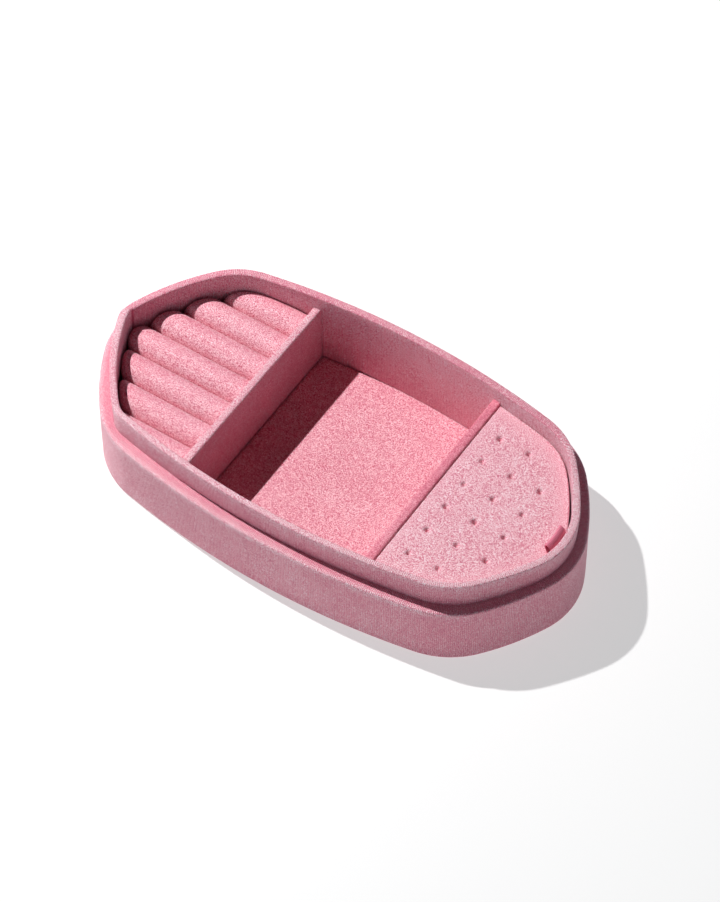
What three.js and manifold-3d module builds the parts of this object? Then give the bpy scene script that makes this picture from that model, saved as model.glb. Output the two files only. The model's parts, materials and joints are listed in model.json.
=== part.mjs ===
// A velvet-covered jewelry box, without its lid, as an assembly of the pieces it is made of.
// The box lies along X with its earring pad at +X. Z points up, and the origin is the middle
// of the underside. Lengths are in millimetres.
//
// A thick card shell stands round a taller, thinner liner, which leaves a ledge for a lid.
// Two dividers split the liner into a ring bay with foam rolls, an open middle bay, and a bay
// whose earring pad lifts out of a hidden compartment by its ribbon.

import * as THREE from "three";
import { mergeVertices } from "three/addons/utils/BufferGeometryUtils.js";
import Module from "manifold-3d";

// The outline seen from above: two bowed long sides and four bowed end sides.
const TIP_X = 117.3; // where two end sides would meet
const SHOULDER_X = 84.9; // where a long side would meet an end side
const SHOULDER_Y = 52.0;
const LONG_BOW = 9.8; // how far a long side bulges past its shoulders
const END_BOW = 4.0; // how far an end side bulges past its two corners
const SHELL_TIP_ROUND = 34.9;
const SHELL_SHOULDER_ROUND = 40.0;
const LINER_TIP_ROUND = 34.9; // where the pad is
const LINER_SHOULDER_ROUND = 34.9;
const RING_TIP_ROUND = 14.0; // the liner's corners round the rolls, which are tighter
const RING_NEAR_ROUND = 12.0;
const RING_FAR_ROUND = 32.0;
const ARC_STEPS = 6; // chords in each stretch of the outline, of which a quarter has four

// Heights above the surface that the box stands on.
const SHELL_TOP = 30.8; // the ledge that a lid sits on
const LINER_TOP = 43.0;
const TALL_DIVIDER_TOP = 36.0;
const LOW_DIVIDER_TOP = 35.6;
const RING_TOP = 33.0; // the crests of the ring rolls
const PAD_TOP = 35.0;
const TAB_TOP = 41.8;

// Walls and layers.
const LEDGE = 5.5; // from the shell's outer face to the liner's
const LINER_THICK = 2.4; // card with velvet on both faces
const VELVET = 0.45;
const GLUE = 0.25; // between a board and the velvet drawn over it
const BASE_SHEET = 0.8;
const BASE_SHEET_INSET = 2.0;
const BASE_BOARD = 2.0;
const FLOOR_CARD = 1.2;
const PAD_BOARD = 1.5;
const PAD_FOAM = 5.0;
const SUPPORT_THICK = 2.0;

// Places along the box.
const TALL_DIVIDER_X = -46.15; // middle of its thickness
const TALL_DIVIDER_THICK = 3.7;
const LOW_DIVIDER_X = 44.6;
const LOW_DIVIDER_THICK = 4.2;

// Repeated features.
const ROLL_COUNT = 7;
const ROLL_SIDES = 20;
const HOLE_ACROSS = 2.0;
const HOLE_SIDES = 8;
const HOLE_COLUMNS = 4;
const HOLE_ROWS = 6;
const HOLE_PITCH_X = 14.2;
const HOLE_PITCH_Y = 14.0;
const HOLE_FIRST = 9.2; // from the pad's straight edge to the first column
const HOLE_EDGE = 8.0; // the least distance from a hole to the pad's edge

// The ribbon that lifts the pad.
const TAB_WIDE = 12.7;
const TAB_THICK = 0.8;
const TAB_FOOT = 12.0; // the length glued under the pad

// Clearances.
const LINER_FIT = 0.3; // between the shell and the liner
const PIECE_FIT = 0.3; // between a piece and the walls it is fitted to
const PAD_FIT = 1.3; // between the pad and the walls, where the ribbon passes
const TAB_FIT = 0.15; // between the ribbon's foot and the pad above it

const wasm = await Module();
wasm.setup();

const velvet = { color: 0xd98fa3, roughness: 0.95, metalness: 0 };
const board = { color: 0x9b948a, roughness: 0.9, metalness: 0 };
const foam = { color: 0xe4dfd6, roughness: 0.95, metalness: 0 };
const sheet = { color: 0x8d5a68, roughness: 0.9, metalness: 0 };
const ribbon = { color: 0xd4879c, roughness: 0.6, metalness: 0 };

// The centres and radii of the outline's arcs. An inset outline has the same centres.
const shoulder = new THREE.Vector2(SHOULDER_X, SHOULDER_Y);
const tip = new THREE.Vector2(TIP_X, 0);
const longRadius = (SHOULDER_X ** 2 + LONG_BOW ** 2) / (2 * LONG_BOW);
const longCentre = new THREE.Vector2(0, SHOULDER_Y + LONG_BOW - longRadius);
const endChord = tip.clone().sub(shoulder);
const endRadius = ((endChord.length() / 2) ** 2 + END_BOW ** 2) / (2 * END_BOW);
const endNormal = new THREE.Vector2(-endChord.y, endChord.x).normalize();
const endCentre = shoulder.clone().add(tip).multiplyScalar(0.5);
endCentre.addScaledVector(endNormal, END_BOW - endRadius);

/** The point at distance ra from a and rb from b that lies to the outer side of both. */
function meetingPoint(a, ra, b, rb) {
  const between = b.clone().sub(a);
  const distance = between.length();
  const along = (ra ** 2 - rb ** 2 + distance ** 2) / (2 * distance);
  const across = Math.sqrt(ra ** 2 - along ** 2);
  between.divideScalar(distance);
  const side = new THREE.Vector2(-between.y, between.x);
  const choices = [1, -1].map((sign) =>
    a.clone().addScaledVector(between, along).addScaledVector(side, sign * across),
  );
  return choices.reduce((best, p) => (p.distanceTo(shoulder) < best.distanceTo(shoulder) ? p : best));
}

/** The four arcs of one quarter of an outline, from its tip to the middle of a long side. */
function quarterArcs(tipRound, shoulderRound) {
  const fromTip = endRadius - tipRound;
  const tipCentre = new THREE.Vector2(endCentre.x + Math.sqrt(fromTip ** 2 - endCentre.y ** 2), 0);
  const shoulderCentre = meetingPoint(
    longCentre,
    longRadius - shoulderRound,
    endCentre,
    endRadius - shoulderRound,
  );
  const tipAngle = tipCentre.clone().sub(endCentre).angle();
  const endAngle = shoulderCentre.clone().sub(endCentre).angle();
  const longAngle = shoulderCentre.clone().sub(longCentre).angle();
  return [
    { centre: tipCentre, radius: tipRound, from: 0, to: tipAngle },
    { centre: endCentre, radius: endRadius, from: tipAngle, to: endAngle },
    { centre: shoulderCentre, radius: shoulderRound, from: endAngle, to: longAngle },
    { centre: longCentre, radius: longRadius, from: longAngle, to: Math.PI / 2 },
  ];
}

// A form's quarters go round from +X and +Y. The liner's rounding is stated at its outer face,
// which is the ledge inside the shell's.
const shellArcs = quarterArcs(SHELL_TIP_ROUND, SHELL_SHOULDER_ROUND);
const linerArcs = quarterArcs(LINER_TIP_ROUND + LEDGE, LINER_SHOULDER_ROUND + LEDGE);
const shellForm = { quarters: [shellArcs, shellArcs, shellArcs, shellArcs], face: 0 };
const linerForm = {
  quarters: [
    linerArcs,
    quarterArcs(RING_TIP_ROUND + LEDGE, RING_FAR_ROUND + LEDGE),
    quarterArcs(RING_TIP_ROUND + LEDGE, RING_NEAR_ROUND + LEDGE),
    linerArcs,
  ],
  face: LEDGE,
};

/** A form's closed outline, a distance inside its outer face. */
function outline(form, inset) {
  const points = [];
  for (let quarter = 0; quarter < 4; quarter += 1) {
    const mirrored = quarter % 2 === 1;
    const signX = quarter === 0 || quarter === 3 ? 1 : -1;
    const signY = quarter < 2 ? 1 : -1;
    const turn = (angle) =>
      mirrored ? ((quarter + 1) * Math.PI) / 2 - angle : (quarter * Math.PI) / 2 + angle;
    const arcs = mirrored ? [...form.quarters[quarter]].reverse() : form.quarters[quarter];
    for (const arc of arcs) {
      const radius = arc.radius - form.face - inset;
      const start = turn(mirrored ? arc.to : arc.from);
      const end = turn(mirrored ? arc.from : arc.to);
      const centreX = signX * arc.centre.x;
      const centreY = signY * arc.centre.y;
      const curve = new THREE.EllipseCurve(centreX, centreY, radius, radius, start, end);
      points.push(...curve.getPoints(ARC_STEPS).slice(1));
    }
  }
  return new THREE.Shape(points);
}

/** How far a point lies inside the shell's outer face. */
function depthInside(x, y) {
  const long = longRadius - Math.hypot(x, Math.abs(y) - longCentre.y);
  const end = endRadius - Math.hypot(Math.abs(x) - endCentre.x, Math.abs(y) - endCentre.y);
  return Math.min(long, end);
}

/** Half the width inside an outline a distance in from the shell's face, where a long side is. */
function halfWidth(x, inset) {
  return longCentre.y + Math.sqrt((longRadius - inset) ** 2 - x ** 2);
}

function solid(geometry) {
  geometry.deleteAttribute("normal");
  geometry.deleteAttribute("uv");
  const merged = mergeVertices(geometry);
  const mesh = new wasm.Mesh({
    numProp: 3,
    vertProperties: new Float32Array(merged.attributes.position.array),
    triVerts: new Uint32Array(merged.index.array),
  });
  return new wasm.Manifold(mesh);
}

/** An upright solid of a form's outline. */
function prism(form, inset, low, high) {
  const geometry = new THREE.ExtrudeGeometry(outline(form, inset), {
    depth: high - low,
    bevelEnabled: false,
  });
  return solid(geometry.translate(0, 0, low));
}

function slab(lowX, highX, lowY, highY, lowZ, highZ) {
  const geometry = new THREE.BoxGeometry(highX - lowX, highY - lowY, highZ - lowZ);
  geometry.translate((lowX + highX) / 2, (lowY + highY) / 2, (lowZ + highZ) / 2);
  return solid(geometry);
}

/** An upright board across the whole box with a rounded top, a margin inside its full size. */
function roundedBoard(middleX, thick, low, high, margin) {
  const half = thick / 2 - margin;
  const shape = new THREE.Shape();
  shape.moveTo(-half, low);
  shape.lineTo(half, low);
  shape.absarc(0, high - margin - half, half, 0, Math.PI, false);
  shape.closePath();
  const geometry = new THREE.ExtrudeGeometry(shape, {
    depth: 2 * reach,
    bevelEnabled: false,
    curveSegments: ARC_STEPS / 2,
  });
  geometry.rotateX(Math.PI / 2);
  return solid(geometry.translate(middleX, reach, 0));
}

const box = new THREE.Group();

function add(name, form, look) {
  const mesh = form.getMesh();
  const geometry = new THREE.BufferGeometry();
  geometry.setAttribute("position", new THREE.BufferAttribute(mesh.vertProperties, 3));
  geometry.setIndex(new THREE.BufferAttribute(mesh.triVerts, 1));
  const piece = new THREE.Mesh(geometry, new THREE.MeshStandardMaterial(look));
  piece.name = name;
  box.add(piece);
}

// Levels and faces that several pieces share.
const reach = 2 * TIP_X; // well past the box, for cuts
const skin = VELVET + GLUE; // from a velvet face to the board behind it
const wallFoot = BASE_SHEET + BASE_BOARD;
const floorTop = wallFoot + FLOOR_CARD + VELVET;
const padUnder = PAD_TOP - skin - PAD_FOAM - PAD_BOARD;
const tallLeft = TALL_DIVIDER_X - TALL_DIVIDER_THICK / 2;
const tallRight = TALL_DIVIDER_X + TALL_DIVIDER_THICK / 2;
const lowLeft = LOW_DIVIDER_X - LOW_DIVIDER_THICK / 2;
const lowRight = LOW_DIVIDER_X + LOW_DIVIDER_THICK / 2;
const inside = LINER_THICK + PIECE_FIT; // the inset of what fits inside the liner

/** The space inside the liner between two places along the box. */
function bay(inset, lowX, highX, low, high) {
  return prism(linerForm, inset, low, high).intersect(slab(lowX, highX, -reach, reach, low, high));
}

function makeBase() {
  add("base_sheet", prism(shellForm, BASE_SHEET_INSET, 0, BASE_SHEET), sheet);
  add("base_board", prism(shellForm, skin, BASE_SHEET, wallFoot), board);
}

function makeShell() {
  const hole = prism(linerForm, -LINER_FIT, -reach, reach);
  const wall = prism(shellForm, skin, wallFoot, SHELL_TOP - skin).subtract(hole);
  add("shell_wall", wall, board);
  const cover = prism(shellForm, 0, BASE_SHEET, SHELL_TOP)
    .subtract(prism(shellForm, VELVET, -reach, SHELL_TOP - VELVET))
    .subtract(hole);
  add("shell_cover", cover, velvet);
}

function makeLiner() {
  const wall = prism(linerForm, skin, wallFoot, LINER_TOP - skin).subtract(
    prism(linerForm, LINER_THICK - skin, -reach, reach),
  );
  add("liner_wall", wall, board);
  const slot = prism(linerForm, VELVET, -reach, LINER_TOP - VELVET).subtract(
    prism(linerForm, LINER_THICK - VELVET, -reach, reach),
  );
  const cover = prism(linerForm, 0, wallFoot, LINER_TOP)
    .subtract(prism(linerForm, LINER_THICK, -reach, reach))
    .subtract(slot);
  add("liner_cover", cover, velvet);
}

function makeDivider(name, middleX, thick, top) {
  const within = prism(linerForm, inside, wallFoot, LINER_TOP);
  const core = roundedBoard(middleX, thick, wallFoot, top, skin);
  add(`${name}_board`, core.intersect(within), board);
  const cover = roundedBoard(middleX, thick, wallFoot, top, 0).subtract(
    roundedBoard(middleX, thick, wallFoot - 1, top, VELVET),
  );
  add(`${name}_cover`, cover.intersect(within), velvet);
}

function makeMiddleFloor() {
  const low = tallRight + PIECE_FIT;
  const high = lowLeft - PIECE_FIT;
  add("floor_card", bay(inside, low, high, wallFoot, floorTop - VELVET), board);
  add("floor_velvet", bay(inside, low, high, floorTop - VELVET, floorTop), velvet);
}

function makeRingBay() {
  const end = tallLeft - PIECE_FIT;
  const pitch = (2 * halfWidth(end, LEDGE + inside)) / ROLL_COUNT;
  const radius = (pitch - PIECE_FIT) / 2;
  const middleZ = RING_TOP - radius;
  const within = bay(inside, -reach, end, wallFoot, LINER_TOP);
  const rod = (y, size, length) => {
    const geometry = new THREE.CylinderGeometry(size, size, length, ROLL_SIDES);
    geometry.rotateZ(Math.PI / 2);
    return solid(geometry.translate(end - reach / 2, y, middleZ));
  };
  add("ring_riser", bay(inside, -reach, end, wallFoot, RING_TOP - 2 * radius - GLUE), foam);
  for (let roll = 1; roll <= ROLL_COUNT; roll += 1) {
    const y = (roll - (ROLL_COUNT + 1) / 2) * pitch;
    add(`ring_roll_${roll}`, rod(y, radius - skin, reach).intersect(within), foam);
    const cover = rod(y, radius, reach).subtract(rod(y, radius - VELVET, 2 * reach));
    add(`ring_roll_cover_${roll}`, cover.intersect(within), velvet);
  }
}

function makeHiddenBay() {
  const end = lowRight + PIECE_FIT;
  const hollow = bay(inside + SUPPORT_THICK, end + SUPPORT_THICK, reach, 0, LINER_TOP);
  const notch = slab(
    end + SUPPORT_THICK + PIECE_FIT,
    reach,
    -TAB_WIDE / 2 - PIECE_FIT,
    TAB_WIDE / 2 + PIECE_FIT,
    padUnder - TAB_THICK - PIECE_FIT,
    LINER_TOP,
  );
  const support = bay(inside, end, reach, wallFoot, padUnder).subtract(hollow).subtract(notch);
  add("pad_support", support, board);
  const inset = inside + SUPPORT_THICK + PIECE_FIT;
  const start = end + SUPPORT_THICK + PIECE_FIT;
  add("hidden_floor_card", bay(inset, start, reach, wallFoot, floorTop - VELVET), board);
  add("hidden_floor_velvet", bay(inset, start, reach, floorTop - VELVET, floorTop), velvet);
}

/** Upright pins where the pad has its stud holes. */
function holePins() {
  const start = lowRight + PIECE_FIT + HOLE_FIRST;
  const edge = LEDGE + LINER_THICK + PAD_FIT + HOLE_EDGE;
  const pins = [];
  for (let column = 0; column < HOLE_COLUMNS; column += 1) {
    for (let row = 0; row < HOLE_ROWS; row += 1) {
      const x = start + column * HOLE_PITCH_X;
      const y = (row - (HOLE_ROWS - 1) / 2) * HOLE_PITCH_Y;
      if (depthInside(x, y) > edge) {
        const size = HOLE_ACROSS / 2;
        const pin = new THREE.CylinderGeometry(size, size, LINER_TOP, HOLE_SIDES);
        pin.rotateX(Math.PI / 2);
        pins.push(solid(pin.translate(x, y, LINER_TOP / 2)));
      }
    }
  }
  return pins;
}

function makePad() {
  const inset = LINER_THICK + PAD_FIT;
  const start = lowRight + PIECE_FIT;
  const pins = holePins();
  const pierced = (form) => pins.reduce((left, pin) => left.subtract(pin), form);
  const foamUnder = padUnder + PAD_BOARD;
  const layer = (low, high) => bay(inset + skin, start + skin, reach, low, high);
  add("pad_board", pierced(layer(padUnder, foamUnder)), board);
  add("pad_foam", pierced(layer(foamUnder, PAD_TOP - skin)), foam);
  const inner = bay(inset + VELVET, start + VELVET, reach, 0, PAD_TOP - VELVET);
  const cover = bay(inset, start, reach, padUnder, PAD_TOP).subtract(inner);
  add("pad_cover", pierced(cover), velvet);
}

/** How far along the box the liner's outline reaches, a distance inside its outer face. */
function tipOf(inset) {
  const arc = linerArcs[0];
  return arc.centre.x + arc.radius - linerForm.face - inset;
}

/** A doubled ribbon that bends round the pad's tip, with its foot turned in under the pad. */
function makePullTab() {
  const outer = LINER_THICK + (PAD_FIT - TAB_THICK) / 2;
  const under = padUnder - TAB_FIT;
  const strip = (lowX, low, high) => slab(lowX, reach, -TAB_WIDE / 2, TAB_WIDE / 2, low, high);
  const stem = prism(linerForm, outer, under - TAB_THICK, TAB_TOP)
    .subtract(prism(linerForm, outer + TAB_THICK, -reach, reach))
    .intersect(strip(0, 0, TAB_TOP));
  const footStart = tipOf(LINER_THICK + PAD_FIT) - TAB_FOOT;
  const foot = prism(linerForm, outer, under - TAB_THICK, under).intersect(strip(footStart, 0, under));
  add("pull_tab", stem.add(foot), ribbon);
}

makeBase();
makeShell();
makeLiner();
makeDivider("tall_divider", TALL_DIVIDER_X, TALL_DIVIDER_THICK, TALL_DIVIDER_TOP);
makeDivider("low_divider", LOW_DIVIDER_X, LOW_DIVIDER_THICK, LOW_DIVIDER_TOP);
makeMiddleFloor();
makeRingBay();
makeHiddenBay();
makePad();
makePullTab();

export default box;
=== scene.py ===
"""An open, velvet-covered jewelry box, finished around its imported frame.

The box lies along X with its earring pad at +X, and stands on Z = 0. Lengths named *_MM are in
millimetres, and everything that becomes geometry is in metres. The walls are profiles carried
round the box's outline, and the soft pieces are surfaces of two parameters.
"""

import json

import bmesh
import bpy
import numpy as np
from mathutils import Matrix, Vector


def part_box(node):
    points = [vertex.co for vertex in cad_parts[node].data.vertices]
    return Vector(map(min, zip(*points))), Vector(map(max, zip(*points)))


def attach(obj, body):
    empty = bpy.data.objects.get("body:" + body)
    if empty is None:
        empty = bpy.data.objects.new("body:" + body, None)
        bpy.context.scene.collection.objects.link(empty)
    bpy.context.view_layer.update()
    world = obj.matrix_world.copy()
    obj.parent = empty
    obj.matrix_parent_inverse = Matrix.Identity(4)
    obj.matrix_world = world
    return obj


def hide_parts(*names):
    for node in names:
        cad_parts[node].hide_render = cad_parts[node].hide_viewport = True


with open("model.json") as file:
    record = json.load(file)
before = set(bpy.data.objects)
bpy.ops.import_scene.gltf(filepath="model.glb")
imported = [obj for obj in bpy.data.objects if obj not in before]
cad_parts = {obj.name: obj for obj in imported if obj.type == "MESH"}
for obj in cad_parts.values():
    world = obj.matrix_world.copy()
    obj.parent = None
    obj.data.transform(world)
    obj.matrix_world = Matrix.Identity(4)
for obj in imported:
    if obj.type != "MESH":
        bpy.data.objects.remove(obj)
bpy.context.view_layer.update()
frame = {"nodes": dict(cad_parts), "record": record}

MM = 0.001

# The outline seen from above, with the same sizes as the frame.
TIP_X = 117.3 * MM  # where two end sides would meet
SHOULDER = np.array([84.9, 52.0]) * MM  # where a long side would meet an end side
LONG_BOW = 9.8 * MM
END_BOW = 4.0 * MM
SHELL_ROUNDS = (34.9 * MM, 40.0 * MM)  # at the tips and at the shoulders
LINER_ROUNDS = (34.9 * MM, 34.9 * MM)  # where the pad is
RING_FAR_ROUNDS = (14.0 * MM, 32.0 * MM)  # the liner's tighter corners round the rolls
RING_NEAR_ROUNDS = (14.0 * MM, 12.0 * MM)
LEDGE = 5.5 * MM
LINER_THICK = 2.4 * MM
VELVET = 0.45 * MM
AROUND = 1080  # samples round an outline

# Stud holes in the pad.
HOLE_PITCH = (14.2 * MM, 14.0 * MM)
HOLE_FIRST = 9.2 * MM  # from the pad's straight edge
HOLE_COUNTS = (6, 6, 4)

ROLL_COUNT = 7

# Ways that a wall can face, seen from above.
FRONT_RIGHT = (0.7, -0.71)
FRONT_LEFT = (-0.6, -0.8)
BACK_LEFT = (-0.6, 0.8)
BACK = (0.0, 1.0)

# The velvet's grain is drawn about twice as coarse as real pile, so that it shows.
PILE_GRAIN = 0.35 * MM
KNIT_RIB = 0.8 * MM
RIBBON_RIB = 0.7 * MM


# --- The outline --------------------------------------------------------------------------


def quarter_arcs(face, tip_round, shoulder_round):
    """Four tangent arcs from a tip to the middle of a long side: (centre, radius, from, to).

    A long side is an arc through both shoulders that bulges by LONG_BOW, and an end side one
    from a shoulder to the tip that bulges by END_BOW. Each fillet's centre is where the two
    sides' circles, shrunk by the fillet's radius, cross.
    """
    long_r = (SHOULDER[0] ** 2 + LONG_BOW**2) / (2 * LONG_BOW)
    long_c = np.array([0.0, SHOULDER[1] + LONG_BOW - long_r])
    chord = np.array([TIP_X, 0.0]) - SHOULDER
    outward = np.array([-chord[1], chord[0]]) / np.hypot(*chord)
    end_r = (np.hypot(*chord) ** 2 / 4 + END_BOW**2) / (2 * END_BOW)
    end_c = (SHOULDER + [TIP_X, 0.0]) / 2 + outward * (END_BOW - end_r)
    tip_r = tip_round + face
    tip_c = np.array([end_c[0] + np.sqrt((end_r - tip_r) ** 2 - end_c[1] ** 2), 0.0])
    corner_r = shoulder_round + face
    between = end_c - long_c
    gap = np.hypot(*between)
    a, b = long_r - corner_r, end_r - corner_r
    along = (a**2 - b**2 + gap**2) / (2 * gap)
    across = np.array([-between[1], between[0]]) / gap * np.sqrt(a**2 - along**2)
    middle = long_c + between / gap * along
    corner_c = min(middle + across, middle - across, key=lambda p: np.hypot(*(p - SHOULDER)))
    joins = ((tip_c, end_c), (corner_c, end_c), (corner_c, long_c))
    tip_to, end_to, corner_to = (np.arctan2(*(c - s)[::-1]) for c, s in joins)
    arcs = [
        (tip_c, tip_r, 0.0, tip_to),
        (end_c, end_r, tip_to, end_to),
        (corner_c, corner_r, end_to, corner_to),
        (long_c, long_r, corner_to, np.pi / 2),
    ]
    return [(c, r - face, start, stop) for c, r, start, stop in arcs]


def outline(quarters, count):
    """Points, outward normals and distances evenly along a closed outline, from its -X tip.

    Each sample's distance picks its arc, and the point is centre + radius * (cos, sin) there.
    """
    full = []
    for quarter, arcs in zip((2, 3, 0, 1), quarters):
        mirrored = quarter % 2
        sign = np.array([1 if quarter in (0, 3) else -1, 1 if quarter < 2 else -1])
        for centre, radius, start, stop in arcs[::-1] if mirrored else arcs:
            turn = quarter * np.pi / 2
            if mirrored:
                start, stop = turn + np.pi / 2 - stop, turn + np.pi / 2 - start
            else:
                start, stop = turn + start, turn + stop
            full.append((*(centre * sign), radius, start, stop))
    cx, cy, radius, start, stop = np.array(full).T
    ends = np.cumsum(radius * (stop - start))
    along = np.linspace(0, ends[-1], count, endpoint=False)
    arc = np.minimum(np.searchsorted(ends, along, side="right"), len(ends) - 1)
    angle = stop[arc] - (ends[arc] - along) / radius[arc]
    normals = np.stack([np.cos(angle), np.sin(angle)], 1)
    points = np.stack([cx[arc], cy[arc]], 1) + radius[arc, None] * normals
    return points, normals, np.append(along, ends[-1])


# The quarters run from the -X tip along the front, and back along the far side.
LINER_QUARTERS = (RING_NEAR_ROUNDS, LINER_ROUNDS, LINER_ROUNDS, RING_FAR_ROUNDS)
SHELL = outline([quarter_arcs(0.0, *SHELL_ROUNDS)] * 4, AROUND)
LINER = outline([quarter_arcs(LEDGE, *rounds) for rounds in LINER_QUARTERS], AROUND)


def inset_outline(form, inset):
    """An outline's points, each moved inwards along its normal."""
    points, normals, _ = form
    return points - normals * inset


def half_width(x, inset, side=1):
    """How far the liner's space reaches on one side (1 or -1) at each x, less an inset."""
    edge = inset_outline(LINER, inset)
    edge = edge[edge[:, 1] * side >= 0]
    edge = edge[np.argsort(edge[:, 0])]
    return np.interp(x, edge[:, 0], np.abs(edge[:, 1]))


def end_reach(y, inset, end=1):
    """How far the liner's space reaches towards one end (1 or -1) at each y, less an inset."""
    edge = inset_outline(LINER, inset)
    edge = edge[edge[:, 0] * end > 0]
    edge = edge[np.argsort(edge[:, 1])]
    return np.interp(y, edge[:, 1], np.abs(edge[:, 0]))


def edge_distance(x, y, edge):
    """The distance from each point of a grid to the nearest of an outline's points."""
    rows = [
        np.min(np.hypot(a[:, None] - edge[:, 0], b[:, None] - edge[:, 1]), 1)
        for a, b in zip(x, y)
    ]
    return np.array(rows)


# --- Meshes from grids ----------------------------------------------------------------------


def grid_faces(rows, columns, wrap_rows, wrap_columns, start=0):
    """Quads of a grid of vertices, and the row and column of each corner before wrapping."""
    i, j = np.meshgrid(
        np.arange(rows - (not wrap_rows)), np.arange(columns - (not wrap_columns)), indexing="ij"
    )
    corner_i = np.stack([i, i + 1, i + 1, i], -1).reshape(-1, 4)
    corner_j = np.stack([j, j, j + 1, j + 1], -1).reshape(-1, 4)
    quads = start + (corner_i % rows) * columns + corner_j % columns
    return quads, corner_i, corner_j


def make_mesh(name, vertices, quads, uv=None, pile_and_painted_light=None):
    """A mesh object at the origin. Its pile value, from 0 to 1, is how much paler the velvet is
    painted: open pile at folds and painted sheen; below 0 it is painted shade.
    """
    mesh = bpy.data.meshes.new(name)
    mesh.from_pydata(vertices.reshape(-1, 3).tolist(), [], quads.tolist())
    if uv is not None:
        layer = mesh.uv_layers.new(name="cloth")
        layer.data.foreach_set("uv", uv.reshape(-1).astype(np.float32))
    values = np.zeros(len(mesh.vertices)) if pile_and_painted_light is None else pile_and_painted_light.reshape(-1)
    attribute = mesh.attributes.new("pile_and_painted_light", "FLOAT", "POINT")
    attribute.data.foreach_set("value", values.astype(np.float32))
    mesh.polygons.foreach_set("use_smooth", np.ones(len(mesh.polygons), bool))
    obj = bpy.data.objects.new(name, mesh)
    bpy.context.scene.collection.objects.link(obj)
    return obj


def tidy_mesh(obj):
    """Merges coincident points, drops empty faces and turns the rest outwards."""
    work = bmesh.new()
    work.from_mesh(obj.data)
    bmesh.ops.remove_doubles(work, verts=work.verts, dist=1e-6)
    bmesh.ops.dissolve_degenerate(work, dist=1e-7, edges=work.edges)
    bmesh.ops.recalc_face_normals(work, faces=work.faces)
    work.to_mesh(obj.data)
    work.free()
    obj.data.polygons.foreach_set("use_smooth", np.ones(len(obj.data.polygons), bool))


def finish_piece(obj, body, material, replaced):
    """Gives a piece its material and its body, and hides the CAD nodes that it stands for."""
    obj.data.materials.append(material)
    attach(obj, body)
    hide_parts(*replaced)


def rounded(corners, reaches, steps=6):
    """A closed profile through corners, each rounded over its own reach.

    A rounding starts and ends at its reach from the corner on the two sides, and runs between
    them as a quadratic curve with the corner as its control point.
    """
    corners = np.array(corners, float)
    before = np.roll(corners, 1, 0) - corners
    after = np.roll(corners, -1, 0) - corners
    reach = np.array(reaches, float)[:, None]
    start = corners + before / np.linalg.norm(before, axis=1, keepdims=True) * reach
    stop = corners + after / np.linalg.norm(after, axis=1, keepdims=True) * reach
    t = np.linspace(0, 1, steps)[None, :, None]
    curve = (
        (1 - t) ** 2 * start[:, None] + 2 * t * (1 - t) * corners[:, None] + t**2 * stop[:, None]
    )
    return curve.reshape(-1, 2)


def spaced(loop, step):
    """A closed loop with its long sides cut so that no two points are further apart than step."""
    pieces = []
    for a, b in zip(loop, np.roll(loop, -1, 0)):
        count = max(1, int(np.ceil(np.hypot(*(b - a)) / step)))
        pieces.append(a + (b - a) * np.linspace(0, 1, count, endpoint=False)[:, None])
    loop = np.vstack(pieces)
    keep = np.hypot(*(loop - np.roll(loop, 1, 0)).T) > 1e-6
    return loop[keep]


def smooth_noise(along, period, seed, terms=7):
    """A sum of a few sine waves that closes on itself over the period."""
    rng = np.random.default_rng(seed)
    orders = rng.integers(2, 24, terms)
    phases = rng.uniform(0, 2 * np.pi, terms)
    waves = np.sin(2 * np.pi * orders * along[..., None] / period + phases)
    return (waves / np.sqrt(orders)).sum(-1) / np.sqrt(terms)


def near(profile, inset, height, reach=1.3 * MM):
    """How close each profile point is to a place, from 1 there to nearly 0 at twice the reach."""
    away = np.hypot(profile[:, 0] - inset, profile[:, 1] - height)
    return np.exp(-((away / reach) ** 2))


def carried_wall(
    name, form, profile, crest, pile_and_painted_light, lift=0.0, stretch=1.0, lean=0.0, peak=0.0, slit=0.0
):
    """A closed profile of (inset, height) points carried round an outline.

    A point is the outline's, moved inwards by the profile's inset, at the profile's height.
    Towards the top stretch multiplies the insets and lean moves them outwards. crest is from 0
    to 1 for each profile point: there the fabric rises and falls by lift, and rises by peak.
    slit moves the inner face outwards below the crest. stretch, lean, peak and slit are one
    value each, or one for each sample round the outline.
    """
    points, normals, along = form
    count = len(points)
    stretch, lean, peak, slit = (
        np.broadcast_to(value, count)[:, None] for value in (stretch, lean, peak, slit)
    )
    rise = np.clip(profile[:, 1] / profile[:, 1].max(), 0, 1) ** 1.5
    inner_face = profile[:, 0] > 0.8 * profile[:, 0].max()
    inset = (1 + (stretch - 1) * rise) * profile[:, 0] - lean * rise
    inset = inset - slit * inner_face * (1 - crest)
    wave = smooth_noise(along[:-1], along[-1], seed=5)[:, None]
    x = points[:, :1] - normals[:, :1] * inset
    y = points[:, 1:] - normals[:, 1:] * inset
    z = profile[:, 1] + (lift * wave + peak) * crest
    grid = np.stack([x, y, z], -1)
    rows, columns = x.shape
    quads, i, j = grid_faces(rows, columns, True, True)
    steps = np.hypot(*(np.roll(profile, -1, 0) - profile).T)
    down = np.concatenate([[0.0], np.cumsum(steps)])
    uv = np.stack([along[i], down[j]], -1)
    return make_mesh(name, grid, quads, uv, np.broadcast_to(pile_and_painted_light, x.shape))


def facing(form, direction, low, high):
    """A smooth step, round an outline, of how far its normals turn towards a direction."""
    t = np.clip((form[1] @ np.array(direction) - low) / (high - low), 0, 1)
    return t * t * (3 - 2 * t)


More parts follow.
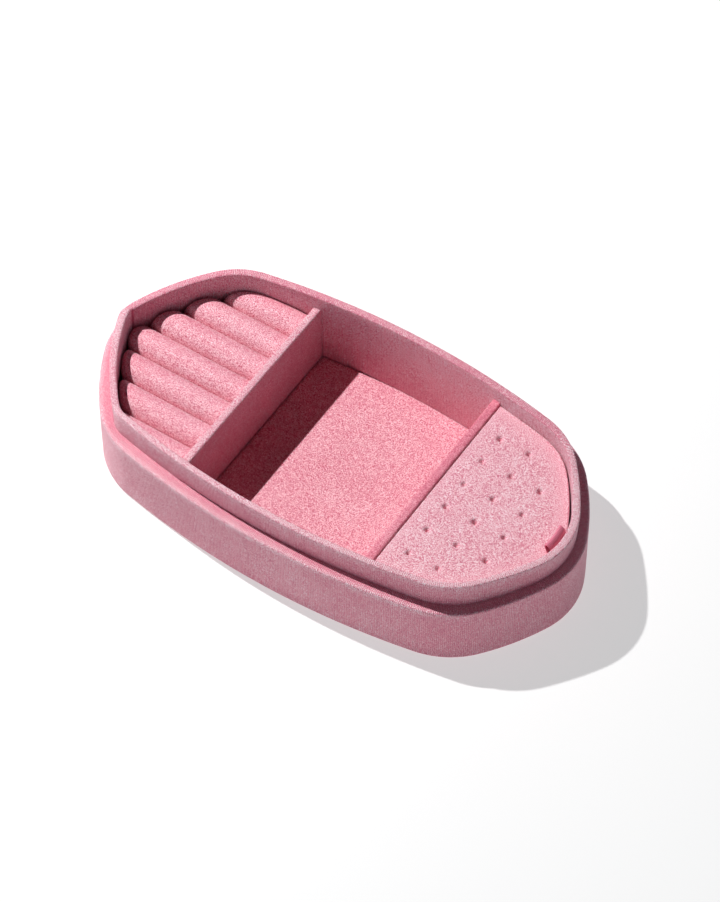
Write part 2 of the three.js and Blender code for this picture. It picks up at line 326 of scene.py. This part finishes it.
def capped_tube(name, grid, uv, pile_and_painted_light=None):
    """A grid whose columns close round a section, with one face over each end."""
    rows, columns = grid.shape[:2]
    quads, i, j = grid_faces(rows, columns, False, True)
    obj = make_mesh(name, grid, quads, uv[i, j % columns], pile_and_painted_light)
    first = np.arange(columns)[::-1]
    last = (rows - 1) * columns + np.arange(columns)
    work = bmesh.new()
    work.from_mesh(obj.data)
    work.verts.ensure_lookup_table()
    for ring in (first, last):
        work.faces.new([work.verts[k] for k in ring])
    work.to_mesh(obj.data)
    work.free()
    tidy_mesh(obj)
    return obj


def stations(low, high, step, to_tip):
    """Places along X, evenly apart, that crowd together where the last ones meet at a tip.

    Over the last 8 mm the way left to the tip shrinks as a square.
    """
    if not to_tip:
        return np.linspace(low, high, int((high - low) / step) + 1)
    crowd = 8 * MM
    even = np.arange(low, high - crowd, step)
    count = int(2 * crowd / step)
    w = np.arange(1, count + 1) / count
    start = even[-1] + step
    return np.concatenate([even, [start], high - (high - start) * (1 - w) ** 2])


def bay_piece(
    name, low, high, inset, bottom, top, edge, straight, step, to_tip=False, surface=None
):
    """A flat piece that fills the liner's inside from low to high along X, less an inset.

    A point is x along the box and v times the half width there, for v from -1 to 1. The top
    and the bottom each fall off to the rim as a quarter circle of radius edge, squeezed to the
    width straight at the ends that run across the box. surface gives the top's further height
    from x, y and the distance to the rim.
    """
    across = int(2 * half_width((low + high) / 2, inset) / step)
    x_line = stations(low, high, step, to_tip)
    v_line = np.linspace(-1, 1, across)
    half = half_width(x_line, inset)
    half[-1] = 0.0 if to_tip else half[-1]
    x = np.broadcast_to(x_line[:, None], (len(x_line), across))
    y = half[:, None] * v_line
    rim = edge_distance(x, y, inset_outline(LINER, inset))
    rim[:, [0, -1]] = 0.0
    rim = np.minimum(rim, (x - low) * edge / straight)
    if not to_tip:
        rim = np.minimum(rim, (high - x) * edge / straight)
    inner = np.clip(edge - rim, 0, edge)
    drop = edge - np.sqrt(edge**2 - inner**2)
    upper = top - drop + (surface(x, y, rim) if surface else 0.0)
    lower = bottom + drop
    rows, columns = x.shape
    grid = np.stack([np.stack([x, y, upper], -1), np.stack([x, y, lower], -1)])
    quads = grid_faces(rows, columns, False, False)[0]
    under = quads[:, ::-1] + rows * columns
    index = np.arange(rows * columns).reshape(rows, columns)
    loop = np.concatenate([index[:, 0], index[-1, 1:], index[-2::-1, -1], index[0, -2:0:-1]])
    after = np.roll(loop, -1)
    side = np.stack([after, loop, loop + rows * columns, after + rows * columns], 1)
    faces = np.vstack([quads, under, side])
    flat = np.stack([np.tile(y.ravel(), 2), np.tile(x.ravel(), 2)], -1)
    brushed = 0.8 * MM  # how far in from the rim the velvet is painted paler: open pile and painted sheen
    pile_and_painted_light = np.tile(np.exp(-((rim / brushed) ** 2)).ravel(), 2)
    obj = make_mesh(name, grid, faces, flat[faces], pile_and_painted_light)
    tidy_mesh(obj)
    return obj


# --- The pieces -----------------------------------------------------------------------------


def make_shell(material):
    """Velvet drawn under the foot of the shell, up its outside and over its ledge.

    The section is stretched to the ledge's width at each place, which is greater where the
    liner's corners are tighter than the shell's.
    """
    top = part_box("shell_cover")[1].z
    foot, turned_in, clearance = 0.15 * MM, 1.7 * MM, 0.1 * MM
    corners = [
        (turned_in, foot), (0, foot), (0, top), (LEDGE, top), (LEDGE, top - VELVET),
        (VELVET, top - VELVET), (VELVET, foot + VELVET), (turned_in, foot + VELVET),
    ]
    reaches = np.array([0.1, 1.1, 1.2, 0.2, 0.1, 0.6, 0.5, 0.1]) * MM
    profile = spaced(rounded(corners, reaches), 2.0 * MM)
    crest = near(profile, 0.4 * MM, top - 0.3 * MM)
    points = SHELL[0]
    width = edge_distance(points[:, :1], points[:, 1:], inset_outline(LINER, 0.0))[:, 0]
    # The top edge is painted paler, most where it faces front and left towards the lamp: a painted
    # highlight.
    pile_and_painted_light = (0.1 + 0.9 * facing(SHELL, FRONT_LEFT, 0.1, 0.7))[:, None] * crest
    wall = carried_wall(
        "shell_velvet", SHELL, profile, crest, pile_and_painted_light,
        lift=0.12 * MM, stretch=(width - clearance) / LEDGE,
    )
    finish_piece(wall, "box", material, ["shell_cover"])


def liner_character():
    """Where the liner departs from its plan, each from 0 to 1 for each sample round it.

    The wall bulges round the pad's tip. At the other tip, where the outline starts and ends,
    the fabric's end is a flap over its start, with a peak on the lip and a fine slit beside it.
    Each is a bell curve of the distance round the outline, and the flap also has a near edge.
    """
    along, whole = LINER[2][:-1], LINER[2][-1]
    before = whole - along
    from_tip = np.minimum(along, before)
    overhang, edge = 0.8 * MM, 2.2 * MM
    past_edge = np.where(along < 40 * MM, along + overhang, overhang - before) / edge
    bulge = np.exp(-(((along - whole / 2) / (26 * MM)) ** 2))
    flap = np.clip(past_edge, 0, 1) * np.exp(-((from_tip / (24 * MM)) ** 2))
    peak = np.exp(-((from_tip / (2.0 * MM)) ** 2))
    slit = np.exp(-(((before - 1.7 * MM) / (0.6 * MM)) ** 2))
    return bulge, flap, peak, slit


def make_liner(velvet, card):
    """The liner's card, and velvet up its outside, over its soft lip and down its inside.

    The wall leans out a little, most at the pad's tip, and its lip is thicker where it leans.
    The lip is painted paler, most where it faces front and right and along the flap, as a painted
    highlight; the inside near the top is painted paler round the bulge, the flap and the back, as
    painted light, and darker in the slit, as painted shade.
    """
    low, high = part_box("liner_cover")
    top, foot = high.z, low.z + 0.1 * MM
    outer, inner = VELVET, LINER_THICK - VELVET
    corners = [
        (0, foot), (0, top), (LINER_THICK, top), (LINER_THICK, foot),
        (inner, foot), (inner, top - VELVET), (outer, top - VELVET), (outer, foot),
    ]
    reaches = np.array([0.1, 0.65, 0.85, 0.1, 0.1, 0.3, 0.4, 0.1]) * MM
    profile = spaced(rounded(corners, reaches), 4.0 * MM)
    crest = near(profile, LINER_THICK / 2, top)
    bulge, flap, peak, slit = liner_character()
    far = facing(LINER, BACK_LEFT, 0.2, 0.9)
    lean = (0.35 + 1.85 * bulge + 0.75 * flap + 0.3 * far) * MM
    stretch = 1.25 + 0.35 * bulge + 0.3 * flap + 0.25 * far
    # The lip is painted paler where it faces front and right and along the flap: a painted
    # highlight.
    lip_painted_highlight = 1.4 * (0.1 + 0.9 * np.maximum(facing(LINER, FRONT_RIGHT, -0.5, 0.3), flap))
    inner_face = profile[:, 0] > 0.99 * LINER_THICK
    inner_top = inner_face * np.clip(profile[:, 1] / (20 * MM) - 0.6, 0, 1)
    # The inside near the top is painted paler round the bulge, the flap and the back wall, as
    # painted light, and darker in the slit, as painted shade.
    inner_painted_light = 0.9 * bulge + 0.7 * flap + 0.8 * facing(LINER, BACK, 0.3, 0.9) - 2.5 * slit
    pile_and_painted_light = lip_painted_highlight[:, None] * crest + inner_painted_light[:, None] * inner_top
    wall = carried_wall(
        "liner_velvet", LINER, profile, crest, pile_and_painted_light, lift=0.15 * MM, stretch=stretch, lean=lean,
        peak=0.7 * MM * peak, slit=0.75 * MM * slit,
    )
    finish_piece(wall, "box", velvet, ["liner_cover"])
    board_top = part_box("liner_wall")[1].z
    faces = (0.7 * MM, LINER_THICK - 0.7 * MM)
    board = np.array([
        (faces[0], foot), (faces[0], board_top), (faces[1], board_top), (faces[1], foot)
    ])
    wall = carried_wall("liner_card", LINER, board, np.zeros(len(board)), 0.0, lean=lean * 0.75)
    finish_piece(wall, "box", card, ["liner_wall"])


def make_divider(name, material, crest_painted_sheen):
    """Velvet folded over a divider's board: a U section run across the box between its walls.

    The third argument is how much paler the top fold is painted, as painted sheen; where it is
    less than 0 the fold is painted deeper instead.
    """
    low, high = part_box(f"{name}_cover")
    foot = low.z + 0.1 * MM
    corners = [
        (low.x, foot), (low.x, high.z), (high.x, high.z), (high.x, foot),
        (high.x - VELVET, foot), (high.x - VELVET, high.z - VELVET),
        (low.x + VELVET, high.z - VELVET), (low.x + VELVET, foot),
    ]
    reaches = np.array([0.1, 1.1, 1.1, 0.1, 0.1, 0.7, 0.7, 0.1]) * MM
    profile = spaced(rounded(corners, reaches), 0.8 * MM)[::-1]
    across = np.linspace(-1, 1, 160)
    margin = LINER_THICK + 0.05 * MM
    back, front = (half_width(profile[:, 0], margin, side) for side in (1, -1))
    y = across[:, None] * np.where(across[:, None] > 0, back, front)
    x = np.broadcast_to(profile[:, 0], y.shape)
    crest = np.exp(-(((profile[:, 1] - high.z) / (1.2 * MM)) ** 2))
    sag = smooth_noise(np.linspace(0, 0.5, len(across)), 1.0, seed=3) * 0.15 * MM
    z = profile[:, 1] + sag[:, None] * crest
    uv = np.stack([y, np.broadcast_to(profile[:, 1], y.shape)], -1)
    # The top fold is painted paler as painted sheen, and deeper where the amount is below 0.
    pile_and_painted_light = np.broadcast_to(crest_painted_sheen * crest, y.shape)
    obj = capped_tube(f"{name}_velvet", np.stack([x, y, z], -1), uv, pile_and_painted_light)
    finish_piece(obj, "box", material, [f"{name}_cover"])


def make_floor(velvet, card):
    """The middle bay's loose floor: a card with velvet folded round its edges.

    It is a little short of the long walls, and its ends reach just under the dividers' velvet.
    """
    low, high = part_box("floor_velvet")
    card_low, card_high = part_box("floor_card")
    inset = LINER_THICK + 0.15 * MM
    fold = 0.9 * MM
    start, stop = low.x - 0.2 * MM, high.x + 0.2 * MM
    lining = bay_piece(
        "floor_lining", start, stop, inset, card_low.z + 0.05 * MM, high.z,
        edge=fold, straight=0.3 * MM, step=0.9 * MM,
    )
    finish_piece(lining, "box", velvet, ["floor_velvet"])
    cut_edge = 0.1 * MM
    board = bay_piece(
        "floor_board", start + 1.1 * MM, stop - 1.1 * MM, inset + fold, card_low.z + 0.3 * MM,
        card_high.z, edge=cut_edge, straight=cut_edge, step=3 * MM,
    )
    finish_piece(board, "box", card, ["floor_card"])


def make_hidden_floor(velvet):
    """Velvet laid flat on the floor of the compartment under the pad, with cut edges."""
    low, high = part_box("hidden_floor_velvet")
    lining = bay_piece(
        "hidden_floor_lining", low.x, high.x, LINER_THICK + 2.6 * MM, low.z, high.z,
        edge=0.2 * MM, straight=0.3 * MM, step=0.9 * MM, to_tip=True,
    )
    finish_piece(lining, "box", velvet, ["hidden_floor_velvet"])


def make_ring_cushion(index, material):
    """A foam rod in velvet, domed where it meets the slanting end wall.

    A point is set by its distance from the rod's end and its angle round the section. The
    section is a circle that grows from nothing over the dome's length and shrinks a little over
    the lip's at the divider. The rod's end at each width follows the wall there. A broad band on
    the front flank is painted paler as painted sheen, and a narrow one on the back as a painted
    highlight.
    """
    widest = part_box("ring_roll_cover_4")
    radius = (widest[1].z - widest[0].z) / 2 + 0.07 * MM
    middle_z = widest[1].z - radius
    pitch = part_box("ring_roll_cover_5")[1].y - widest[1].y
    middle_y = (index - (ROLL_COUNT + 1) / 2) * pitch
    dome, lip = 4.0 * MM, 0.6 * MM
    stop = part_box("tall_divider_cover")[0].x - 0.05 * MM
    longest = stop + end_reach(middle_y, LINER_THICK, -1)
    rise = np.linspace(0, np.pi / 2, 14)
    from_end = np.concatenate([dome * (1 - np.cos(rise)), np.linspace(dome, longest - lip, 70)[1:]])
    from_end = np.append(from_end, longest - lip * (1 - np.sin(rise[::3][1:])))
    near_end = np.clip(1 - from_end / dome, 0, 1)
    far_end = np.clip(1 - (longest - from_end) / lip, 0, 1)
    smallest, shrink = 0.02, 0.08
    grow = np.maximum(np.sqrt(1 - near_end**2), smallest)
    grow = grow * (1 - shrink * (1 - np.sqrt(1 - far_end**2)))
    angle = np.linspace(0, 2 * np.pi, 80, endpoint=False)
    y = middle_y + radius * grow[:, None] * np.cos(angle)
    z = middle_z + radius * grow[:, None] * np.sin(angle)
    start = -end_reach(y, LINER_THICK - 0.3 * MM, -1)
    x = start + from_end[:, None] / longest * (stop - start)
    margin = LINER_THICK + 0.1 * MM
    y = np.clip(y, -half_width(x, margin, -1), half_width(x, margin))
    uv = np.stack([x, np.broadcast_to(angle * radius, x.shape)], -1)
    # A broad band on the front flank is painted paler as painted sheen, and a narrow one high on
    # the back as a painted highlight.
    flank_painted_sheen, ridge_painted_highlight = (
        strength * np.exp(-(((angle - np.radians(centre)) / np.radians(width)) ** 2))
        for strength, centre, width in ((0.9, 146, 22), (1.2, 42, 7))
    )
    pile_and_painted_light = np.broadcast_to(flank_painted_sheen + ridge_painted_highlight, x.shape)
    obj = capped_tube(f"ring_cushion_{index}", np.stack([x, y, z], -1), uv, pile_and_painted_light)
    replaced = [f"ring_roll_cover_{index}", f"ring_roll_{index}"]
    finish_piece(obj, "box", material, replaced)


def stud_holes():
    """Where the pad is pierced: columns along X, each evenly spread about the middle."""
    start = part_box("pad_cover")[0].x + HOLE_FIRST
    return [
        (start + column * HOLE_PITCH[0], (row - (count - 1) / 2) * HOLE_PITCH[1])
        for column, count in enumerate(HOLE_COUNTS)
        for row in range(count)
    ]


def make_pad(material):
    """The earring pad: foam under velvet, crowned, with a pinched dimple at each stud hole.

    The crown's height rises with the distance from the rim and levels off. Each hole takes a
    narrow bell curve from it, of a size that differs a little from hole to hole, and a broad
    shallow one.
    """
    low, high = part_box("pad_cover")
    holes = stud_holes()
    sizes = np.random.default_rng(11).uniform(0.85, 1.15, len(holes))
    crown, crown_reach = 0.35 * MM, 9 * MM
    hole_depth, hole_reach = 2.3 * MM, 0.85 * MM
    pinch_depth, pinch_reach = 0.2 * MM, 2.4 * MM

    def surface(x, y, rim):
        height = crown * (1 - np.exp(-rim / crown_reach))
        for (hole_x, hole_y), size in zip(holes, sizes):
            away = np.hypot(x - hole_x, y - hole_y)
            height = height - hole_depth * size * np.exp(-((away / (hole_reach * size)) ** 2))
            height = height - pinch_depth * np.exp(-((away / pinch_reach) ** 2))
        return height

    inset = LINER_THICK + 0.6 * MM
    obj = bay_piece(
        "pad_cushion", low.x - 0.35 * MM, end_reach(0.0, inset), inset,
        low.z + 1.5 * MM, high.z - 0.1 * MM,
        edge=1.0 * MM, straight=0.5 * MM, step=0.42 * MM, to_tip=True, surface=surface,
    )
    finish_piece(obj, "earring_pad", material, ["pad_cover", "pad_foam"])


def make_pull_tab(material):
    """A ribbon glued under the pad, up past its tip, over in a loop and down again.

    The ribbon's section is its centreline moved out by half its thickness to both sides, and
    each place across its width lies back by the liner's curve at the tip.
    """
    path = np.array([
        (93.2, 27.35), (98.0, 27.35), (103.8, 27.35), (105.1, 27.6), (105.5, 28.6), (105.5, 31.0),
        (105.4, 34.0), (104.9, 36.5), (104.0, 39.0), (103.2, 40.7), (103.0, 41.5), (103.3, 42.1),
        (104.2, 42.1), (105.2, 41.6), (105.95, 40.7), (106.2, 39.2), (106.2, 36.0), (106.1, 31.0),
    ]) * MM
    thickness = 0.4 * MM
    tip_radius = 32.5 * MM
    step = np.append(0, np.cumsum(np.hypot(*np.diff(path, axis=0).T)))
    even = np.linspace(0, step[-1], 90)
    line = np.stack([np.interp(even, step, path[:, k]) for k in (0, 1)], 1)
    soft = np.ones(5) / 5
    for k in (0, 1):
        line[2:-2, k] = np.convolve(line[:, k], soft, "valid")
    along = np.gradient(line, axis=0)
    side = np.stack([-along[:, 1], along[:, 0]], 1) / np.hypot(*along.T)[:, None]
    section = np.vstack([line + side * thickness / 2, (line - side * thickness / 2)[::-1]])
    low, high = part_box("pull_tab")
    y_line = np.linspace(low.y + 1.1 * MM, high.y + 0.2 * MM, 40)
    bend = y_line**2 / (2 * tip_radius)
    x = section[:, 0] - bend[:, None]
    y = np.broadcast_to(y_line[:, None], x.shape)
    z = np.broadcast_to(section[:, 1], x.shape)
    uv = np.stack([y, np.broadcast_to(np.append(even, even[::-1]), x.shape)], -1)
    obj = capped_tube("pull_ribbon", np.stack([x, y, z], -1), uv)
    finish_piece(obj, "earring_pad", material, ["pull_tab"])


# --- Materials ------------------------------------------------------------------------------


def srgb(text):
    """A linear colour from an sRGB hex value such as d98fa3."""
    value = np.array([int(text[k : k + 2], 16) for k in (0, 2, 4)]) / 255
    linear = np.where(value <= 0.04045, value / 12.92, ((value + 0.055) / 1.055) ** 2.4)
    return (*linear.tolist(), 1.0)


def add_node(tree, kind, inputs=(), **settings):
    """One node. settings are its properties, and inputs are its sockets' values or links.

    A link is another node's output, or another node, whose first output is then taken.
    """
    node = tree.nodes.new(kind)
    for name, value in settings.items():
        setattr(node, name, value)
    for socket, value in dict(inputs).items():
        if isinstance(value, bpy.types.Node):
            value = value.outputs[0]
        if isinstance(value, bpy.types.NodeSocket):
            tree.links.new(value, node.inputs[socket])
        else:
            node.inputs[socket].default_value = value
    return node


def start_material(name, colour, **values):
    """A material with its Principled shader's own sockets set, and the shader and its tree."""
    material = bpy.data.materials.new(name)
    material.use_nodes = True
    tree = material.node_tree
    shader = tree.nodes["Principled BSDF"]
    shader.inputs["Base Color"].default_value = srgb(colour)
    material.diffuse_color = srgb(colour)
    for socket, value in values.items():
        shader.inputs[socket.replace("_", " ")].default_value = value
    return material, tree, shader


DEEP_PINKS = ("c9506d", "ea7c92", "ffd6de")  # the pile's root, its length and its tip
# Paler colours: painted sheen on the walls and painted light on the pad.
PAINTED_SHEEN_PINKS = ("d26580", "ee8ca0", "ffe2e8")


def stretch_velvet(
    name, rib, contrast, dim, sheen, teeth=0.0, colours=DEEP_PINKS, tint="ffccd6", ior=1.64
):
    """Stretch velvet: a knitted ground with a short, dense, crushed pile.

    The pile is crimson in itself and pale where the fibres' tips catch the light, so it is a
    deep red in shade, speckled on a lit flat, and milky at grazing angles; at its folds the
    milk is painted. The tone is a speckle, drifting slowly over the piece, with the ribs of the
    knit laid on it, and dim shifts a copy's whole tone as painted shade, or below 0 as painted
    light. Where the mesh's pile value paints the velvet paler, at folds and as painted sheen
    and highlight on lit sides, the speckle counts again and teeth brings the ribs out; where
    that value is below 0 it paints shade.
    """
    material, tree, shader = start_material(
        name, colours[1], Roughness=0.55, IOR=ior, Sheen_Weight=sheen,
        Sheen_Roughness=0.35, Sheen_Tint=srgb(tint),
    )
    place = add_node(tree, "ShaderNodeTexCoord").outputs["Object"]
    cloth = add_node(tree, "ShaderNodeUVMap", uv_map="cloth")
    pile_and_painted_light = add_node(tree, "ShaderNodeAttribute", attribute_name="pile_and_painted_light").outputs["Fac"]
    across = add_node(tree, "ShaderNodeSeparateXYZ", {0: cloth})
    turn = {0: across, 1: 2 * np.pi / KNIT_RIB}
    turn = add_node(tree, "ShaderNodeMath", turn, operation="MULTIPLY")
    ribs = add_node(tree, "ShaderNodeMath", {0: turn}, operation="SINE")
    grain, tufts, brushed = (
        add_node(
            tree, "ShaderNodeTexNoise",
            {"Vector": place, "Scale": 1 / size, "Detail": detail, "Roughness": 0.6},
        )
        for size, detail in ((PILE_GRAIN, 1.5), (2.6 * MM, 3.0), (24 * MM, 2.0))
    )
    levels = {0: grain, 1: 0.41, 2: 0.61, 3: 0.5 - contrast, 4: 0.5 + contrast}
    speck = add_node(tree, "ShaderNodeMapRange", levels)
    both = add_node(tree, "ShaderNodeMath", {0: tufts, 1: brushed}, operation="ADD")
    drift = add_node(tree, "ShaderNodeMapRange", {0: both, 1: 0.75, 2: 1.3, 3: -0.12, 4: 0.12})
    # dim darkens a whole copy of the velvet as painted shade, and below 0 lightens it as painted
    # light.
    shade = add_node(tree, "ShaderNodeMath", {0: drift, 1: -dim}, operation="ADD")
    tone = add_node(tree, "ShaderNodeMath", {0: speck, 1: shade}, operation="ADD")
    sparkle = add_node(tree, "ShaderNodeMath", {0: speck, 1: -0.1}, operation="ADD")
    # Where the pile value is high the velvet is painted paler, as painted sheen and highlight, and
    # where it is below 0 darker, as painted shade.
    open_ribs = add_node(tree, "ShaderNodeMath", {0: ribs, 1: pile_and_painted_light}, operation="MULTIPLY")
    for layer, amount in ((ribs, 0.1 * rib), (pile_and_painted_light, sparkle), (open_ribs, teeth)):
        inputs = {0: layer, 1: amount, 2: tone}
        tone = add_node(tree, "ShaderNodeMath", inputs, operation="MULTIPLY_ADD")
    ramp = add_node(tree, "ShaderNodeValToRGB", {0: tone})
    ramp.color_ramp.elements.new(0.5)
    for stop, colour in zip(ramp.color_ramp.elements, colours):
        stop.color = srgb(colour)
    tree.links.new(ramp.outputs["Color"], shader.inputs["Base Color"])
    height = {0: ribs, 1: 0.3 * rib, 2: grain}
    height = add_node(tree, "ShaderNodeMath", height, operation="MULTIPLY_ADD")
    bump = add_node(
        tree, "ShaderNodeBump", {"Height": height, "Strength": 1.0, "Distance": 0.22 * MM}
    )
    tree.links.new(bump.outputs["Normal"], shader.inputs["Normal"])
    return material


def grosgrain_ribbon():
    """Narrow woven ribbon: smoother than the velvet, with fine ribs across its width."""
    material, tree, shader = start_material(
        "woven_ribbon", "e67690", Roughness=0.42, IOR=1.5, Sheen_Weight=0.1, Sheen_Roughness=0.3
    )
    cloth = add_node(tree, "ShaderNodeUVMap", uv_map="cloth")
    across = add_node(tree, "ShaderNodeSeparateXYZ", {0: cloth})
    turn = {0: across, 1: 2 * np.pi / RIBBON_RIB}
    turn = add_node(tree, "ShaderNodeMath", turn, operation="MULTIPLY")
    rib = add_node(tree, "ShaderNodeMath", {0: turn}, operation="SINE")
    level = add_node(tree, "ShaderNodeMapRange", {0: rib, 1: -1.0, 2: 1.0, 3: 0.0, 4: 1.0})
    ramp = add_node(tree, "ShaderNodeValToRGB", {0: level})
    ramp.color_ramp.elements[0].color = srgb("dc6480")
    ramp.color_ramp.elements[1].color = srgb("f592a8")
    tree.links.new(ramp.outputs["Color"], shader.inputs["Base Color"])
    bump = add_node(tree, "ShaderNodeBump", {"Height": rib, "Strength": 0.8, "Distance": 0.1 * MM})
    tree.links.new(bump.outputs["Normal"], shader.inputs["Normal"])
    return material


def pressed_stock(name, light, dark, roughness, fibre):
    """Board, foam or paper seen at its cut edges: a speckled, fibrous, matt surface."""
    material, tree, shader = start_material(name, light, Roughness=roughness, IOR=1.45)
    place = add_node(tree, "ShaderNodeTexCoord").outputs["Object"]
    grain = {"Vector": place, "Scale": 1 / fibre, "Detail": 4.0}
    grain = add_node(tree, "ShaderNodeTexNoise", grain)
    ramp = add_node(tree, "ShaderNodeValToRGB", {0: grain})
    for stop, position, colour in zip(ramp.color_ramp.elements, (0.3, 0.7), (dark, light)):
        stop.position = position
        stop.color = srgb(colour)
    tree.links.new(ramp.outputs["Color"], shader.inputs["Base Color"])
    bump = {"Height": grain, "Strength": 0.5, "Distance": 0.1 * MM}
    bump = add_node(tree, "ShaderNodeBump", bump)
    tree.links.new(bump.outputs["Normal"], shader.inputs["Normal"])
    return material


# --- The setting ----------------------------------------------------------------------------


def make_table():
    """A pale table just under the box's foot, with a faint glow of its own."""
    mesh = bpy.data.meshes.new("floor")
    half, level = 3.0, -0.05 * MM
    corners = [(x * half, y * half, level) for x, y in ((-1, -1), (1, -1), (1, 1), (-1, 1))]
    mesh.from_pydata(corners, [], [(0, 1, 2, 3)])
    table = bpy.data.objects.new("floor", mesh)
    bpy.context.scene.collection.objects.link(table)
    material = start_material(
        "pale_table", "c1c1c0", Roughness=0.8, Emission_Color=srgb("ffffff"), Emission_Strength=0.53
    )[0]
    table.data.materials.append(material)


def make_key_light():
    """A small strong lamp, high at the left."""
    key = bpy.data.lights.new("key", "POINT")
    key.energy = 41
    key.shadow_soft_size = 0.009
    lamp = bpy.data.objects.new("key", key)
    lamp.location = (-0.52, 0.01, 0.81)
    bpy.context.scene.collection.objects.link(lamp)


def make_surroundings():
    """A bright horizon and a dim ceiling, cool in colour and brighter to the left."""
    world = bpy.data.worlds.new("studio")
    bpy.context.scene.world = world
    world.use_nodes = True
    tree = world.node_tree
    direction = add_node(tree, "ShaderNodeTexCoord").outputs["Generated"]
    parts = add_node(tree, "ShaderNodeSeparateXYZ", {0: direction}).outputs
    glow = {0: parts["Z"], 1: 0.0, 2: 0.65, 3: 0.84, 4: 0.01}
    side = {0: parts["X"], 1: -1.0, 2: 1.0, 3: 1.15, 4: 0.7}
    glow, side = (add_node(tree, "ShaderNodeMapRange", levels) for levels in (glow, side))
    strength = add_node(tree, "ShaderNodeMath", {0: glow, 1: side}, operation="MULTIPLY")
    background = tree.nodes["Background"]
    tree.links.new(strength.outputs[0], background.inputs["Strength"])
    background.inputs["Color"].default_value = srgb("eaf0ff")
    bpy.context.scene.view_settings.view_transform = "Standard"


def make_camera():
    """A long lens, above and to the right of the front, turned to look at the box's middle."""
    azimuth, elevation = np.radians([33.62, 52.85])
    distance, shift_right, shift_up = 1.602, 0.00776, 0.01453
    back = Vector((
        np.sin(azimuth) * np.cos(elevation), -np.cos(azimuth) * np.cos(elevation), np.sin(elevation)
    ))
    right = Vector((np.cos(azimuth), np.sin(azimuth), 0))
    up = back.cross(right)
    place = back * distance + right * shift_right + up * shift_up
    camera = bpy.data.cameras.new("camera")
    camera.sensor_width = 36
    camera.lens = 150.65
    camera.clip_start = 0.05
    holder = bpy.data.objects.new("camera", camera)
    turn = Matrix((right, up, back)).transposed().to_4x4()
    holder.matrix_world = Matrix.Translation(place) @ turn
    bpy.context.scene.collection.objects.link(holder)
    bpy.context.scene.camera = holder


# --- The scene ------------------------------------------------------------------------------

# These velvets are lit and shaded copies of one cloth: dim below 0 paints the flats, the rolls and,
# most, the pad paler, and dim above 0 paints the walls a little darker.
wall_velvet = stretch_velvet(
    "stretch_velvet_walls", rib=1.5, contrast=0.42, dim=0.05, sheen=0.6,
    colours=PAINTED_SHEEN_PINKS, tint="ffe4ea", ior=1.5,
)
flat_velvet = stretch_velvet("stretch_velvet_flats", rib=0.3, contrast=0.7, dim=-0.1, sheen=0.3)
roll_velvet = stretch_velvet("stretch_velvet_rolls", rib=0.15, contrast=0.8, dim=-0.1, sheen=0.35)
pad_velvet = stretch_velvet(
    "stretch_velvet_pad", rib=0.2, contrast=0.7, dim=-0.2, sheen=0.4, teeth=0.3, colours=PAINTED_SHEEN_PINKS
)
greyboard = pressed_stock("greyboard", "a8a096", "8d857b", roughness=0.9, fibre=0.8 * MM)
soft_foam = pressed_stock("polyurethane_foam", "e9e4da", "cfc8bb", roughness=0.95, fibre=0.5 * MM)
base_paper = pressed_stock("textured_base_paper", "8c4f5f", "743c4c", roughness=0.8, fibre=0.6 * MM)
ribbon = grosgrain_ribbon()

stock = {
    "board": greyboard, "foam": soft_foam, "base_sheet": base_paper, "velvet": flat_velvet,
    "ribbon": ribbon,
}
for part in frame["record"]["subparts"]:
    node = frame["nodes"][part["node"]]
    node.data.materials.clear()
    node.data.materials.append(stock[part["material_slot"]])

make_shell(wall_velvet)
make_liner(wall_velvet, greyboard)
make_divider("tall_divider", wall_velvet, crest_painted_sheen=0.6)
make_divider("low_divider", flat_velvet, crest_painted_sheen=-0.5)
make_floor(flat_velvet, greyboard)
make_hidden_floor(flat_velvet)
for roll in range(1, ROLL_COUNT + 1):
    make_ring_cushion(roll, roll_velvet)
make_pad(pad_velvet)
make_pull_tab(ribbon)
make_table()
make_key_light()
make_surroundings()
make_camera()
